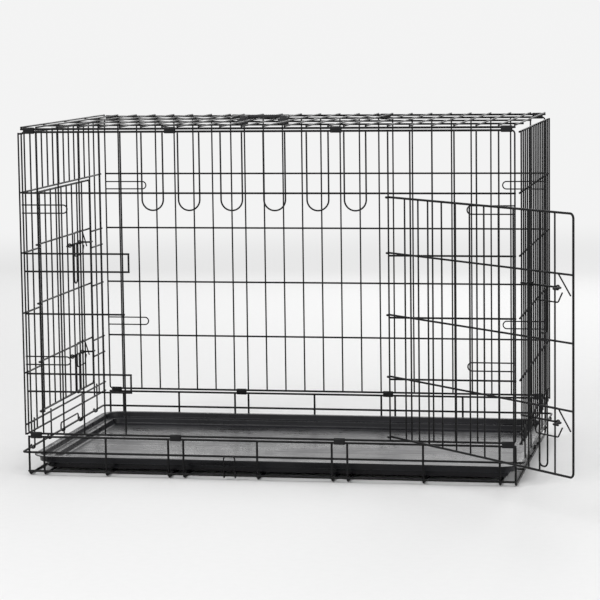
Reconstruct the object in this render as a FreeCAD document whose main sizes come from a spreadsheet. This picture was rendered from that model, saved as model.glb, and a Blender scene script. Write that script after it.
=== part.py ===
import FreeCAD, Part
import Sketcher
import math
import os
import re

Vector = FreeCAD.Vector
Rotation = FreeCAD.Rotation
Placement = FreeCAD.Placement

doc = FreeCAD.newDocument("dog_cage")
sheet = doc.addObject("Spreadsheet::Sheet", "sizes")
nodes = []

# Driving sizes in millimetres and degrees
# Wire stock, welds and running clearance
thin_dia = 3.0
cross_dia = 3.5
heavy_dia = 4.0
light_dia = 2.5
weld_sink = 0.2
butt_sink = 0.05
running_gap = 0.35
curl_angle = 240.0

# Cage plan: column spacing, depth and rows
pitch = 39.5
narrow = 28.5
cage_depth = 560.0
row_gap = 111.5
hinge_z = 78.0
corner_bend = 6.0
wire_overhang = 1.5

# Door openings, strikes and loops
stop_drop = 31.0
strike_drop = 33.0
strike_reach = 10.5
loop_width = 15.0
loop_reach = 86.0
front_loop_low = 215.0
front_loop_high = 495.0
back_loop_low = 219.0
back_loop_high = 500.0

# Basket
basket_rail_drop = 6.0
riser_bend = 8.0
riser_foot = 20.0
lip_angle = 8.0
floor_row = 140.0

# Ends
end_clear = 10.0
end_side_gap = 13.0
end_hinge_z = 42.0
end_corner_bend = 8.0
end_return = 48.0
end_corner_run = 14.0
end_top_drop = 3.5
end_low_rise = 33.0
end_second_gap = 18.0
end_leg_over = 4.0
end_overhang = 2.0

# Hinge clips
clip_length = 20.0
clip_sheet = 0.8
top_rail_rise = 5.5

# Doors: gaps to the doorway, reach past the strike wire
door_bend = 8.0
door_corner_run = 24.0
door_free_reach = 10.5
door_wire_lift = 5.0
front_door_foot = 7.0
front_door_drop = 7.0
left_door_foot = 7.0
left_door_drop = 8.0
front_open_angle = 135.0

# Slide bolts
bolt_drop = 19.5
bolt_tail = 56.0
bolt_bend = 4.5
bolt_tip = 15.0
tip_clear = 0.5
ring_gap = 0.4
guard_back = 13.5
guard_shoulder = 5.0
guard_hook = 37.0
guard_fall = 11.0
guard_front = 16.0
guard_half = 24.0
guard_mouth = 7.0
guard_bend = 5.0
paddle_first = -8.0
paddle_width = 21.0
paddle_drop = 79.0
paddle_bend = 9.0

# Tray
tray_end_gap = 5.0
tray_side_gap = 14.0
tray_corner = 40.0
tray_rim = 9.0
tray_rim_sheet = 2.2
tray_wall = 2.4
tray_height = 25.0
tray_step_drop = 10.5
tray_step_in = 14.0
tray_floor = 2.6
tray_rest_gap = 0.35

# Tray stop, carry handle and fold hook
stop_half = 60.0
stop_rise = 12.0
stop_middle = 42.0
stop_bend = 6.0
sleeve_radius = 5.0
sleeve_length = 20.0
arm_width = 12.0
arm_sheet = 5.0
grip_reach = 30.0
grip_rise = 8.6
grip_radius = 3.5
hook_x = -70.5
hook_half = 10.5
hook_rise = 36.0
hook_bend = 6.0

cells = []


# One row of the sheet: name, content and alias
def cell(name, content):
    cells.append(name)
    row = len(cells)
    sheet.set("A%d" % row, name)
    sheet.set("B%d" % row, content)
    sheet.setAlias("B%d" % row, name)


# Every decimal number named above is a driving cell
for name, value in list(globals().items()):
    if isinstance(value, float):
        cell(name, str(value))


# Sizes that follow from the driving ones
def derived(name, formula):
    cell(name, "=" + formula)


# The value of a named size
def num(name):
    return float(sheet.get(name))


# A formula in size names, ready to bind to an object
def bound(formula):
    return re.sub(r"[a-z]\w*", lambda found: "sizes." + found.group(0), formula)


# Columns and rows
column_gaps = ["narrow"] + ["pitch"] * 6 + ["narrow"] + ["pitch"] * 7
column_gaps += ["narrow"] + ["pitch"] * 7 + ["narrow"]
last_column = len(column_gaps)
derived("half_length", "(%s) / 2" % " + ".join(column_gaps))
derived("half_depth", "cage_depth / 2")
derived("column_x00", "-half_length")
for index, gap in enumerate(column_gaps):
    derived("column_x%02d" % (index + 1), "column_x%02d + %s" % (index, gap))
last_level = 5
for level in range(last_level + 1):
    derived("level_z%d" % level, "hinge_z + %d * row_gap" % (last_level - level))
columns = ["column_x%02d" % index for index in range(last_column + 1)]

# Weld offsets between crossing wires
derived("cross_step", "(thin_dia + cross_dia) / 2 - weld_sink")
derived("loop_step", "(thin_dia + light_dia) / 2 - weld_sink")
derived("rail_step", "(thin_dia + heavy_dia) / 2 - weld_sink")
derived("floor_step", "(heavy_dia + cross_dia) / 2 - weld_sink")
derived("twin_step", "heavy_dia - weld_sink")
derived("rail_top", "heavy_dia / 2 - butt_sink")
derived("panel_low", "level_z5 + rail_top")
derived("panel_rise", "level_z0 - level_z5 - 2 * rail_top")

# Basket heights and lips
derived("basket_z", "hinge_z - basket_rail_drop")
derived("floor_z", "heavy_dia / 2")
derived("floor_cross_z", "floor_z + floor_step")
derived("lip_reach", "riser_bend + heavy_dia - butt_sink")
derived("lip_y", "half_depth - riser_bend + lip_reach * cos(lip_angle * 1deg)")
derived("lip_z", "floor_z + riser_bend - lip_reach * sin(lip_angle * 1deg)")

# End panels
end_count = 16
derived("end_pitch", "(cage_depth - 2 * end_side_gap) / %d" % (end_count - 1))
derived("end_low_z", "end_hinge_z + end_low_rise")
derived("end_second_z", "end_low_z + end_second_gap")
derived("end_leg_top", "end_second_z + end_leg_over")
derived("end_top_z", "level_z0 - end_top_drop")
derived("eye_radius", "(heavy_dia + thin_dia) / 2 + running_gap")
derived("end_x", "half_length + end_clear")
derived("end_hinge_x", "end_x + eye_radius")
derived("end_return_y", "half_depth - twin_step")

# Clips and top panel
derived("clip_inside", "heavy_dia / 2 + running_gap")
derived("top_z", "level_z0 + top_rail_rise")
derived("top_cross_z", "top_z + rail_step")
derived("top_mid_z", "top_cross_z - cross_step")

# Doors and bolts
derived("front_door_low", "hinge_z + front_door_foot")
derived("front_door_top", "level_z1 - front_door_drop")
derived("left_door_low", "end_second_z + left_door_foot")
derived("left_door_top", "level_z1 - left_door_drop")
derived("door_plane", "(thin_dia + heavy_dia) / 2 + running_gap")
derived("door_face", "door_plane + cross_step")
derived("ring_major", "(cross_dia + light_dia) / 2 + ring_gap")
derived("bolt_plane", "door_face + thin_dia / 2 + ring_major + light_dia / 2 - butt_sink")
derived("guard_plane", "door_face + (thin_dia + light_dia) / 2 - weld_sink")
derived("tip_plane", "cross_step + cross_dia + running_gap")
derived("tip_back", "strike_reach + cross_dia + tip_clear")

# Tray, fold hook and carry handle
derived("tray_half_x", "end_x - tray_end_gap")
derived("tray_half_y", "half_depth - tray_side_gap")
derived("tray_z", "floor_cross_z + cross_dia / 2 + tray_rest_gap")
derived("hook_radius", "(heavy_dia + light_dia) / 2 + running_gap")
derived("sleeve_bore", "cross_dia + 2 * running_gap")
derived("sleeve_dia", "2 * sleeve_radius")
derived("grip_dia", "2 * grip_radius")
derived("grip_z", "top_mid_z + grip_rise")
doc.recompute()

turns = {
    "x": Rotation(Vector(0, 1, 0), 90),
    "y": Rotation(Vector(1, 0, 0), -90),
    "z": Rotation(),
}


# A straight wire from a start point along one axis
def rod(dia, axis, x, y, z, length):
    wire = doc.addObject("Part::Cylinder", "wire")
    wire.Placement = Placement(Vector(), turns[axis])
    wire.setExpression("Radius", bound(dia + " / 2"))
    wire.setExpression("Height", bound(length))
    wire.setExpression(".Placement.Base.x", bound(x))
    wire.setExpression(".Placement.Base.y", bound(y))
    wire.setExpression(".Placement.Base.z", bound(z))
    return wire


# Edges of a path through points, each corner rounded to the bend radius
def bent_path(points, bend):
    edges = []
    start = points[0]
    for before, corner, after in zip(points, points[1:], points[2:]):
        back = (before - corner).normalize()
        ahead = (after - corner).normalize()
        half = back.getAngle(ahead) / 2
        run = bend / math.tan(half)
        first = corner + back * run
        last = corner + ahead * run
        middle = corner + (back + ahead).normalize() * (bend / math.sin(half) - bend)
        if (first - start).Length > 1e-4:
            edges.append(Part.makeLine(start, first))
        edges.append(Part.Arc(first, middle, last).toShape())
        start = last
    if (points[-1] - start).Length > 1e-4:
        edges.append(Part.makeLine(start, points[-1]))
    return edges


# Edges of an arc about a centre; the angle is measured from one direction to the other
def arc_path(centre, across, along, radius, first, last):
    turn = [math.radians(first + (last - first) * share) for share in (0, 0.5, 1)]
    spots = [centre + (across * math.cos(a) + along * math.sin(a)) * radius for a in turn]
    return [Part.Arc(*spots).toShape()]


# A round wire along a path
def swept(dia, edges):
    first = edges[0]
    start = first.valueAt(first.FirstParameter)
    heading = first.tangentAt(first.FirstParameter)
    section = Part.Wire([Part.Circle(start, heading, num(dia) / 2).toShape()])
    wire = doc.addObject("Part::Feature", "bent_wire")
    wire.Shape = Part.Wire(edges).makePipeShell([section], True, False)
    return wire


# A named sub-part made of wires
def group(label, members):
    part = doc.addObject("Part::Compound", label)
    part.Label = label
    part.Links = members
    nodes.append(part)
    return part


# Places a sub-part that was drawn about its own hinge line
def stand(part, x, y, angle):
    part.Placement = Placement(Vector(), Rotation(Vector(0, 0, 1), angle))
    part.setExpression(".Placement.Base.x", bound(x))
    part.setExpression(".Placement.Base.y", bound(y))


# Bent wire as a chain of solids, one for each straight or curved length
def chain(dia, path):
    return [swept(dia, [edge]) for edge in path]


# Narrow U loop lying on a panel's outer face, open end at the cage corner
def corner_loop(side, face, centre):
    root = side * (num("half_length") + num("wire_overhang"))
    tip = root - side * num("loop_reach")
    half = num("loop_width") / 2
    spots = [(root, half), (tip, half), (tip, -half), (root, -half)]
    points = [Vector(x, face, centre + z) for x, z in spots]
    return chain("light_dia", bent_path(points, half))


# Upright at a panel's outer edge, both ends turned in to meet the rails
def edge_upright(x, y, side):
    turn = num("corner_bend")
    low = num("level_z5")
    high = num("level_z0")
    spots = [(x - side * turn, low), (x, low), (x, high), (x - side * turn, high)]
    return chain("thin_dia", bent_path([Vector(a, y, b) for a, b in spots], turn))


# Sheet ring with a stadium section round two parallel rails
def clip(x, y, low, high):
    def outline(radius):
        left = Part.makeLine(Vector(0, y - radius, low), Vector(0, y - radius, high))
        right = Part.makeLine(Vector(0, y + radius, high), Vector(0, y + radius, low))
        over = [Vector(0, y - radius, high), Vector(0, y, high + radius), Vector(0, y + radius, high)]
        under = [Vector(0, y + radius, low), Vector(0, y, low - radius), Vector(0, y - radius, low)]
        return Part.Wire([left, Part.Arc(*over).toShape(), right, Part.Arc(*under).toShape()])

    inside = num("clip_inside")
    length = Vector(num("clip_length"), 0, 0)
    bore = Part.Face(outline(inside)).extrude(length)
    ring = doc.addObject("Part::Feature", "ring")
    ring.Shape = Part.Face(outline(inside + num("clip_sheet"))).extrude(length).cut(bore)
    ring.Placement = Placement(Vector(x - num("clip_length") / 2, 0, 0), Rotation())
    return ring


# Clips in the narrow gaps of one long edge
def clips(label, y, low, high):
    rings = []
    for index, gap in enumerate(column_gaps):
        if gap == "narrow":
            middle = (num(columns[index]) + num(columns[index + 1])) / 2
            rings.append(clip(middle, y, low, high))
    group(label, rings)


# Basket floor: runs, turned-up risers, rails and lips
floor_columns = []
for first, last in ((0, 1), (7, 8), (15, 16), (23, 24)):
    floor_columns.append(columns[first])
    floor_columns.append(columns[last])
for first, last in ((1, 7), (8, 15), (16, 23)):
    floor_columns.append("(%s + %s) / 2" % (columns[first], columns[last]))
runs = []
for x in floor_columns:
    runs.append(rod("heavy_dia", "y", x, "riser_foot - half_depth", "floor_z",
                    "cage_depth - 2 * riser_foot"))
group("floor_wires", runs)


# Riser at a floor column, on the front (-1) or back (+1) side
def riser(x, side):
    wall = side * num("half_depth")
    foot = wall - side * num("riser_foot")
    top = num("basket_z") - num("rail_top")
    spots = [(wall, top), (wall, num("floor_z")), (foot, num("floor_z"))]
    return chain("heavy_dia", bent_path([Vector(x, y, z) for y, z in spots], num("riser_bend")))


def column_value(index):
    return num(columns[index])


floor_values = [column_value(index) for index in (0, 1, 7, 8, 15, 16, 23, 24)]
for first, last in ((1, 7), (8, 15), (16, 23)):
    floor_values.append((column_value(first) + column_value(last)) / 2)
for label, side in (("front_risers", -1), ("back_risers", 1)):
    risers = []
    for x in floor_values:
        risers += riser(x, side)
    group(label, risers)

full_start = "-half_length - wire_overhang"
full_run = "2 * (half_length + wire_overhang)"
rails = []
for y in ("-half_depth", "half_depth"):
    rails.append(rod("heavy_dia", "x", full_start, y, "basket_z", full_run))
for y in ("-lip_y", "lip_y"):
    rails.append(rod("heavy_dia", "x", full_start, y, "lip_z", full_run))
for y in ("-end_return_y", "end_return_y"):
    rails.append(rod("heavy_dia", "x", "end_return - end_hinge_x", y, "end_hinge_z",
                     "2 * (end_hinge_x - end_return)"))
group("basket_rails", rails)
crosses = []
for y in ("-floor_row", "0", "floor_row"):
    crosses.append(rod("cross_dia", "x", full_start, y, "floor_cross_z", full_run))
group("floor_cross_wires", crosses)


# Hinge rail of one end with its corners turned back to meet the side runs
def end_rail(label, side):
    far = "%d * end_hinge_x" % side
    inner = "end_corner_run - end_return_y"
    pieces = [rod("heavy_dia", "y", far, inner, "end_hinge_z", "2 * (end_return_y - end_corner_run)")]
    for hand in (-1, 1):
        out = side * num("end_hinge_x")
        wall = hand * num("end_return_y")
        begin = wall - hand * num("end_corner_run")
        spots = [(out, begin), (out, wall), (out - side * num("end_return"), wall)]
        points = [Vector(x, y, num("end_hinge_z")) for x, y in spots]
        pieces += chain("heavy_dia", bent_path(points, num("end_corner_bend")))
    group(label, pieces)


end_rail("left_end_rail", -1)
end_rail("right_end_rail", 1)
clips("basket_front_clips", -num("half_depth"), num("basket_z"), num("hinge_z"))
clips("basket_back_clips", num("half_depth"), num("basket_z"), num("hinge_z"))


# Rails of a standing panel
def panel_rails(label, y):
    pair = []
    for z in ("level_z5", "level_z0"):
        pair.append(rod("heavy_dia", "x", "corner_bend - half_length", y, z,
                        "2 * (half_length - corner_bend)"))
    group(label, pair)


# Front panel: two strips of uprights with the doorway between them
panel_rails("front_rails", "-half_depth")
strip_left = 5
strip_right = 18
uprights = edge_upright(-num("half_length"), -num("half_depth"), -1)
uprights += edge_upright(num("half_length"), -num("half_depth"), 1)
for index in list(range(1, strip_left + 1)) + list(range(strip_right, last_column)):
    uprights.append(rod("thin_dia", "z", columns[index], "-half_depth", "panel_low", "panel_rise"))
group("front_verticals", uprights)
front_inner = "cross_step - half_depth"
left_run = columns[strip_left] + " + half_length + 2 * wire_overhang"
strike_run = columns[strip_left] + " + strike_reach + cross_dia / 2 + half_length + wire_overhang"
right_start = columns[strip_right] + " - wire_overhang"
right_run = "half_length - " + columns[strip_right] + " + 2 * wire_overhang"
crosses = [rod("cross_dia", "x", full_start, front_inner, "level_z1", full_run)]
for level in (2, 3, 4):
    height = "level_z%d" % level
    run = left_run if level == 3 else strike_run
    crosses.append(rod("cross_dia", "x", full_start, front_inner, height, run))
    crosses.append(rod("cross_dia", "x", right_start, front_inner, height, right_run))
group("front_cross_wires", crosses)
strikes = []
for level in (2, 4):
    low = "level_z%d - strike_drop" % level
    bar_x = columns[strip_left] + " + strike_reach"
    strikes.append(rod("cross_dia", "x", full_start, front_inner, low, strike_run))
    strikes.append(rod("cross_dia", "z", bar_x, front_inner, low + " + cross_dia / 2 - butt_sink",
                       "strike_drop - cross_dia + 2 * butt_sink"))
group("front_strikes", strikes)
loops = []
for index in range(strip_left + 1, strip_right, 2):
    first = column_value(index)
    second = column_value(index + 1)
    high = num("level_z0") - num("rail_top")
    low = num("level_z1") - num("stop_drop")
    spots = [(first, high), (first, low), (second, low), (second, high)]
    points = [Vector(x, -num("half_depth"), z) for x, z in spots]
    loops.append(swept("thin_dia", bent_path(points, (second - first) / 2)))
group("door_stop_loops", loops)
face = -num("half_depth") - num("loop_step")
loops = []
for side in (-1, 1):
    for centre in ("front_loop_low", "front_loop_high"):
        loops += corner_loop(side, face, num(centre))
group("front_corner_loops", loops)

# Back panel: uprights in every column and four full cross wires
panel_rails("back_rails", "half_depth")
uprights = edge_upright(-num("half_length"), num("half_depth"), -1)
uprights += edge_upright(num("half_length"), num("half_depth"), 1)
for index in range(1, last_column):
    uprights.append(rod("thin_dia", "z", columns[index], "half_depth", "panel_low", "panel_rise"))
group("back_verticals", uprights)
crosses = []
for level in (1, 2, 3, 4):
    crosses.append(rod("cross_dia", "x", full_start, "half_depth + cross_step", "level_z%d" % level, full_run))
group("back_cross_wires", crosses)
loops = []
for side in (-1, 1):
    for centre in ("back_loop_low", "back_loop_high"):
        loops += corner_loop(side, num("half_depth") + num("loop_step"), num(centre))
group("back_corner_loops", loops)

# Top panel: lengthwise wires below, depthwise wires above
rails = []
for y in ("-half_depth", "half_depth"):
    rails.append(rod("heavy_dia", "x", full_start, y, "top_z", full_run))
for y in ("-floor_row", "0", "floor_row"):
    rails.append(rod("cross_dia", "x", full_start, y, "top_mid_z", full_run))
group("top_rails", rails)
crosses = []
for x in columns:
    crosses.append(rod("thin_dia", "y", x, "-half_depth - wire_overhang", "top_cross_z",
                       "cage_depth + 2 * wire_overhang"))
group("top_cross_wires", crosses)
clips("top_front_clips", -num("half_depth"), num("level_z0"), num("top_z"))
clips("top_back_clips", num("half_depth"), num("level_z0"), num("top_z"))


# End panel: uprights, inner cross wires and legs curled round the end rail
strip_front = 3
strip_back = 13
hinge_gaps = (1, 4, 10, 13)


def end_y(index):
    return "(%s) * end_pitch" % (index - (end_count - 1) / 2)


def end_panel(name, side, doorway):
    plane = "%d * end_x" % side
    inner = "%d * (end_x - cross_step)" % side
    uprights = []
    for index in range(end_count):
        low = "end_low_z - end_overhang"
        if doorway and strip_front < index < strip_back:
            low = "level_z1 - end_overhang"
        uprights.append(rod("thin_dia", "z", plane, end_y(index), low, "end_top_z + end_overhang - (%s)" % low))
    group(name + "_verticals", uprights)
    start = end_y(0) + " - end_overhang"
    run = "%d * end_pitch + 2 * end_overhang" % (end_count - 1)
    crosses = []
    for z in ("end_top_z", "level_z1", "end_second_z", "end_low_z"):
        crosses.append(rod("cross_dia", "y", inner, start, z, run))
    for level in (2, 3, 4):
        z = "level_z%d" % level
        if not doorway:
            crosses.append(rod("cross_dia", "y", inner, start, z, run))
            continue
        crosses.append(rod("cross_dia", "y", inner, start, z, "%d * end_pitch + 2 * end_overhang" % strip_front))
        first = end_y(strip_back) + " - end_overhang"
        if level != 3:
            first = end_y(strip_back) + " - strike_reach - cross_dia / 2"
        far = "%s + end_overhang - (%s)" % (end_y(end_count - 1), first)
        crosses.append(rod("cross_dia", "y", inner, first, z, far))
    group(name + "_cross_wires", crosses)
    legs = []
    for gap in hinge_gaps:
        y = (gap + 0.5 - (end_count - 1) / 2) * num("end_pitch")
        top = Vector(side * num("end_x"), y, num("end_leg_top"))
        foot = Vector(side * num("end_x"), y, num("end_hinge_z"))
        centre = Vector(side * num("end_hinge_x"), y, num("end_hinge_z"))
        turn = arc_path(centre, Vector(-side, 0, 0), Vector(0, 0, -1), num("eye_radius"), 0, num("curl_angle"))
        legs.append(swept("thin_dia", [Part.makeLine(top, foot)] + turn))
    group(name + "_hinges", legs)


end_panel("left_end", -1, True)
end_panel("right_end", 1, False)
strikes = []
left_inner = "cross_step - end_x"
for level in (2, 4):
    low = "level_z%d - strike_drop" % level
    bar_y = end_y(strip_back) + " - strike_reach"
    run = "%s + end_overhang - (%s) + cross_dia / 2" % (end_y(end_count - 1), bar_y)
    strikes.append(rod("cross_dia", "y", left_inner, bar_y + " - cross_dia / 2", low, run))
    strikes.append(rod("cross_dia", "z", left_inner, bar_y, low + " + cross_dia / 2 - butt_sink",
                       "strike_drop - cross_dia + 2 * butt_sink"))
group("left_strikes", strikes)


# Door drawn about its hinge line: x to the free edge, y outward, z up
def door_wire(dia, z, reach):
    turn = arc_path(Vector(0, 0, z), Vector(0, 1, 0), Vector(-1, 0, 0), num("door_plane"), num("curl_angle"), 0)
    start = Vector(0, num("door_plane"), z)
    return swept(dia, turn + [Part.makeLine(start, Vector(reach, num("door_plane"), z))])


def door(name, x, y, angle, lows, uprights, low, top):
    reach = num(name + "_strike") + num("door_free_reach")
    begin = reach - num("door_corner_run")
    plane = num("door_plane")
    spots = [(begin, num(low)), (reach, num(low)), (reach, num(top)), (begin, num(top))]
    edge = swept("heavy_dia", bent_path([Vector(a, plane, b) for a, b in spots], num("door_bend")))
    frame = [door_wire("heavy_dia", num(low), begin), door_wire("heavy_dia", num(top), begin), edge]
    parts = [group(name + "_frame", frame)]
    reach_in = reach - num("heavy_dia") / 2 + num("butt_sink")
    crosses = [door_wire("cross_dia", num(z) + num("door_wire_lift"), reach_in) for z in lows]
    parts.append(group(name + "_cross_wires", crosses))
    bars = []
    for u in uprights:
        bars.append(rod("thin_dia", "z", u, "door_face", low + " - wire_overhang",
                        "%s - %s + 2 * wire_overhang" % (top, low)))
    parts.append(group(name + "_verticals", bars))
    previous = num(name + "_previous")
    final = num(name + "_final")
    guards = []
    rings = []
    for level in (2, 4):
        axis = num("level_z%d" % level) - num("bolt_drop")
        back = previous - num("guard_back")
        corner = final + num("guard_shoulder")
        front = final + num("guard_front")
        half = num("guard_half")
        mouth = num("guard_mouth")
        spots = [(final + num("guard_hook"), -num("guard_fall")), (corner, half)]
        spots += [(back, half), (back, -half), (corner, -half), (front, -mouth)]
        points = [Vector(a, num("guard_plane"), axis + b) for a, b in spots]
        guards.append(swept("light_dia", bent_path(points, num("guard_bend"))))
        for u in (name + "_second", name + "_final"):
            ring = doc.addObject("Part::Torus", "guide_ring")
            ring.Placement = Placement(Vector(), turns["x"])
            ring.setExpression("Radius1", bound("ring_major"))
            ring.setExpression("Radius2", bound("light_dia / 2"))
            ring.setExpression(".Placement.Base.x", bound(u))
            ring.setExpression(".Placement.Base.y", bound("bolt_plane"))
            ring.setExpression(".Placement.Base.z", bound("level_z%d - bolt_drop" % level))
            rings.append(ring)
    parts.append(group(name + "_latch_guards", guards))
    parts.append(group(name + "_guide_rings", rings))
    for level, word in ((2, "upper"), (4, "lower")):
        axis = num("level_z%d" % level) - num("bolt_drop")
        tip = num(name + "_strike") - num("tip_back")
        crank = tip - num("bolt_tip")
        tail = previous - num("bolt_tail")
        spots = [(tail, num("bolt_plane")), (crank, num("bolt_plane"))]
        spots += [(crank, -num("tip_plane")), (tip, -num("tip_plane"))]
        path = bent_path([Vector(a, b, axis) for a, b in spots], num("bolt_bend"))
        bolt = chain("cross_dia", path)
        under = axis - num("cross_dia") / 2 + num("butt_sink")
        left = previous + num("paddle_first")
        right = left + num("paddle_width")
        bottom = axis - num("paddle_drop")
        spots = [(left, under), (left, bottom), (right, bottom), (right, under)]
        points = [Vector(a, num("bolt_plane"), b) for a, b in spots]
        paddle = swept("thin_dia", bent_path(points, num("paddle_bend")))
        parts.append(group("%s_%s_bolt" % (name, word), bolt + [paddle]))
    for part in parts:
        stand(part, x, y, angle)


derived("front_door_strike", columns[strip_right] + " - " + columns[strip_left])
derived("front_door_previous", "9 * pitch + 2 * narrow")
derived("front_door_second", "front_door_previous - narrow")
derived("front_door_final", "front_door_previous + pitch")
derived("left_door_strike", "%d * end_pitch" % (strip_back - strip_front))
derived("left_door_final", "left_door_strike - end_pitch")
derived("left_door_previous", "left_door_final - end_pitch")
derived("left_door_second", "left_door_previous - end_pitch")
doc.recompute()
front_bars = []
for index in range(strip_right - 1, strip_left, -1):
    front_bars.append("%s - %s" % (columns[strip_right], columns[index]))
left_bars = ["%d * end_pitch" % count for count in range(1, strip_back - strip_front)]
levels = ["level_z2", "level_z3", "level_z4"]
door("front_door", columns[strip_right], "-half_depth", 180 + num("front_open_angle"), levels, front_bars,
     "front_door_low", "front_door_top")
door("left_door", "-end_x", end_y(strip_front), 90, levels, left_bars,
     "left_door_low", "left_door_top")

# Tray: stepped pan with a flat rim
tray = doc.addObject("PartDesign::Body", "tray")
tray.Label = "tray"
nodes.append(tray)
plan = [item for item in tray.Origin.OriginFeatures if item.Role == "XY_Plane"][0]


# Rounded rectangle about the origin, inset from the rim's outline
def tray_outline(name, inset, height):
    sketch = tray.newObject("Sketcher::SketchObject", name)
    sketch.AttachmentSupport = [(plan, "")]
    sketch.MapMode = "FlatFace"
    sketch.setExpression(".AttachmentOffset.Base.z", bound(height))
    half_x = num("tray_half_x")
    half_y = num("tray_half_y")
    bend = num("tray_corner")
    corners = [(half_x, half_y), (-half_x, half_y), (-half_x, -half_y), (half_x, -half_y)]
    for count, (x, y) in enumerate(corners):
        far_x, far_y = corners[(count + 1) % 4]
        step_x = (far_x > x) - (far_x < x)
        step_y = (far_y > y) - (far_y < y)
        begin = Vector(x + bend * step_x, y + bend * step_y, 0)
        finish = Vector(far_x - bend * step_x, far_y - bend * step_y, 0)
        sketch.addGeometry(Part.LineSegment(begin, finish), False)
    for count, (x, y) in enumerate(corners):
        centre = Vector(math.copysign(abs(x) - bend, x), math.copysign(abs(y) - bend, y), 0)
        turn = Part.Circle(centre, Vector(0, 0, 1), bend)
        sketch.addGeometry(Part.ArcOfCircle(turn, count * math.pi / 2, (count + 1) * math.pi / 2), False)
    for count in range(4):
        sketch.addConstraint(Sketcher.Constraint("Tangent", 4 + count, 2, count, 1))
        sketch.addConstraint(Sketcher.Constraint("Tangent", count, 2, 4 + (count + 1) % 4, 1))
    for count in range(1, 4):
        sketch.addConstraint(Sketcher.Constraint("Equal", 4, 4 + count))
    for line in (0, 2):
        sketch.addConstraint(Sketcher.Constraint("Horizontal", line))
    for line in (1, 3):
        sketch.addConstraint(Sketcher.Constraint("Vertical", line))
    radius = sketch.addConstraint(Sketcher.Constraint("Radius", 4, bend))
    top = sketch.addConstraint(Sketcher.Constraint("DistanceY", -1, 1, 0, 1, half_y))
    bottom = sketch.addConstraint(Sketcher.Constraint("DistanceY", 2, 1, -1, 1, half_y))
    left = sketch.addConstraint(Sketcher.Constraint("DistanceX", 1, 1, -1, 1, half_x))
    right = sketch.addConstraint(Sketcher.Constraint("DistanceX", -1, 1, 3, 1, half_x))
    for number, size in ((radius, "tray_corner"), (top, "tray_half_y"), (bottom, "tray_half_y"),
                         (left, "tray_half_x"), (right, "tray_half_x")):
        sketch.setExpression("Constraints[%d]" % number, bound("%s - (%s)" % (size, inset)))
    doc.recompute()
    return sketch


def tray_feature(kind, name, inset, height, depth):
    feature = tray.newObject(kind, name)
    feature.Profile = tray_outline(name + "_outline", inset, height)
    feature.setExpression("Length", bound(depth))
    doc.recompute()


wide = "tray_rim"
narrower = "tray_rim + tray_step_in"
rim_z = "tray_z + tray_height"
step_z = rim_z + " - tray_step_drop"
tray_feature("PartDesign::Pad", "pan_lower", narrower, "tray_z", "tray_height - tray_step_drop")
tray_feature("PartDesign::Pad", "pan_upper", wide, step_z + " - tray_wall", "tray_step_drop + tray_wall")
tray_feature("PartDesign::Pad", "rim", "0", rim_z + " - tray_rim_sheet", "tray_rim_sheet")
tray_feature("PartDesign::Pocket", "upper_hollow", wide + " + tray_wall", rim_z, "tray_step_drop")
tray_feature("PartDesign::Pocket", "lower_hollow", narrower + " + tray_wall", step_z,
             "tray_height - tray_step_drop - tray_floor")

# Tray stop: wire U hung by two eyes on the left end rail
out = -num("end_hinge_x")
base = num("end_hinge_z")
radius = num("eye_radius")
edges = []
near = num("stop_middle") - num("stop_half")
beyond = num("stop_middle") + num("stop_half")
across = Vector(-1, 0, 0)
edges += arc_path(Vector(out, near, base), across, Vector(0, 0, -1), radius, num("curl_angle"), 0)
high = base + num("stop_rise")
spots = [(near, base), (near, high), (beyond, high), (beyond, base)]
edges += bent_path([Vector(out - radius, y, z) for y, z in spots], num("stop_bend"))
edges += arc_path(Vector(out, beyond, base), across, Vector(0, 0, -1), radius, 0, num("curl_angle"))
group("tray_stop", [swept("thin_dia", edges)])

# Fold hook: two prongs curled round the basket's front lip
half = num("hook_half")
radius = num("hook_radius")
middle = num("hook_x")
lip = -num("lip_y")
base = num("lip_z")
across = Vector(0, -1, 0)
edges = []
edges += arc_path(Vector(middle - half, lip, base), across, Vector(0, 0, -1), radius, num("curl_angle"), 0)
high = base + num("hook_rise")
spots = [(-half, base), (-half, high), (half, high), (half, base)]
edges += bent_path([Vector(middle + x, lip - radius, z) for x, z in spots], num("hook_bend"))
edges += arc_path(Vector(middle + half, lip, base), across, Vector(0, 0, -1), radius, 0, num("curl_angle"))
group("fold_hook", [swept("light_dia", edges)])


# Carry handle: two sleeves on the middle top wire, two arms and a grip
def solid_box(x, y, z, long, wide, high):
    box = doc.addObject("Part::Box", "arm")
    box.setExpression("Length", bound(long))
    box.setExpression("Width", bound(wide))
    box.setExpression("Height", bound(high))
    box.setExpression(".Placement.Base.x", bound(x))
    box.setExpression(".Placement.Base.y", bound(y))
    box.setExpression(".Placement.Base.z", bound(z))
    return box


first_sleeve = "(%s + %s) / 2" % (columns[9], columns[10])
second_sleeve = "(%s + %s) / 2" % (columns[11], columns[12])
bodies = []
bores = []
for spot in (first_sleeve, second_sleeve):
    start = spot + " - sleeve_length / 2"
    bodies.append(rod("sleeve_dia", "x", start, "0", "top_mid_z", "sleeve_length"))
    bores.append(rod("sleeve_bore", "x", start + " - wire_overhang", "0", "top_mid_z",
                     "sleeve_length + 2 * wire_overhang"))
    rise = "grip_z - top_mid_z + arm_sheet / 2"
    bodies.append(solid_box(spot + " - arm_width / 2", "0", "grip_z - arm_sheet / 2", "arm_width",
                            "grip_reach", "arm_sheet"))
    bodies.append(solid_box(spot + " - arm_width / 2", "-sleeve_radius / 2", "top_mid_z", "arm_width",
                            "sleeve_radius", rise))
bodies.append(rod("grip_dia", "x", first_sleeve + " - arm_width / 2", "grip_reach", "grip_z",
                  second_sleeve + " - (" + first_sleeve + ") + arm_width"))
whole = doc.addObject("Part::MultiFuse", "handle_body")
whole.Shapes = bodies
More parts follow.
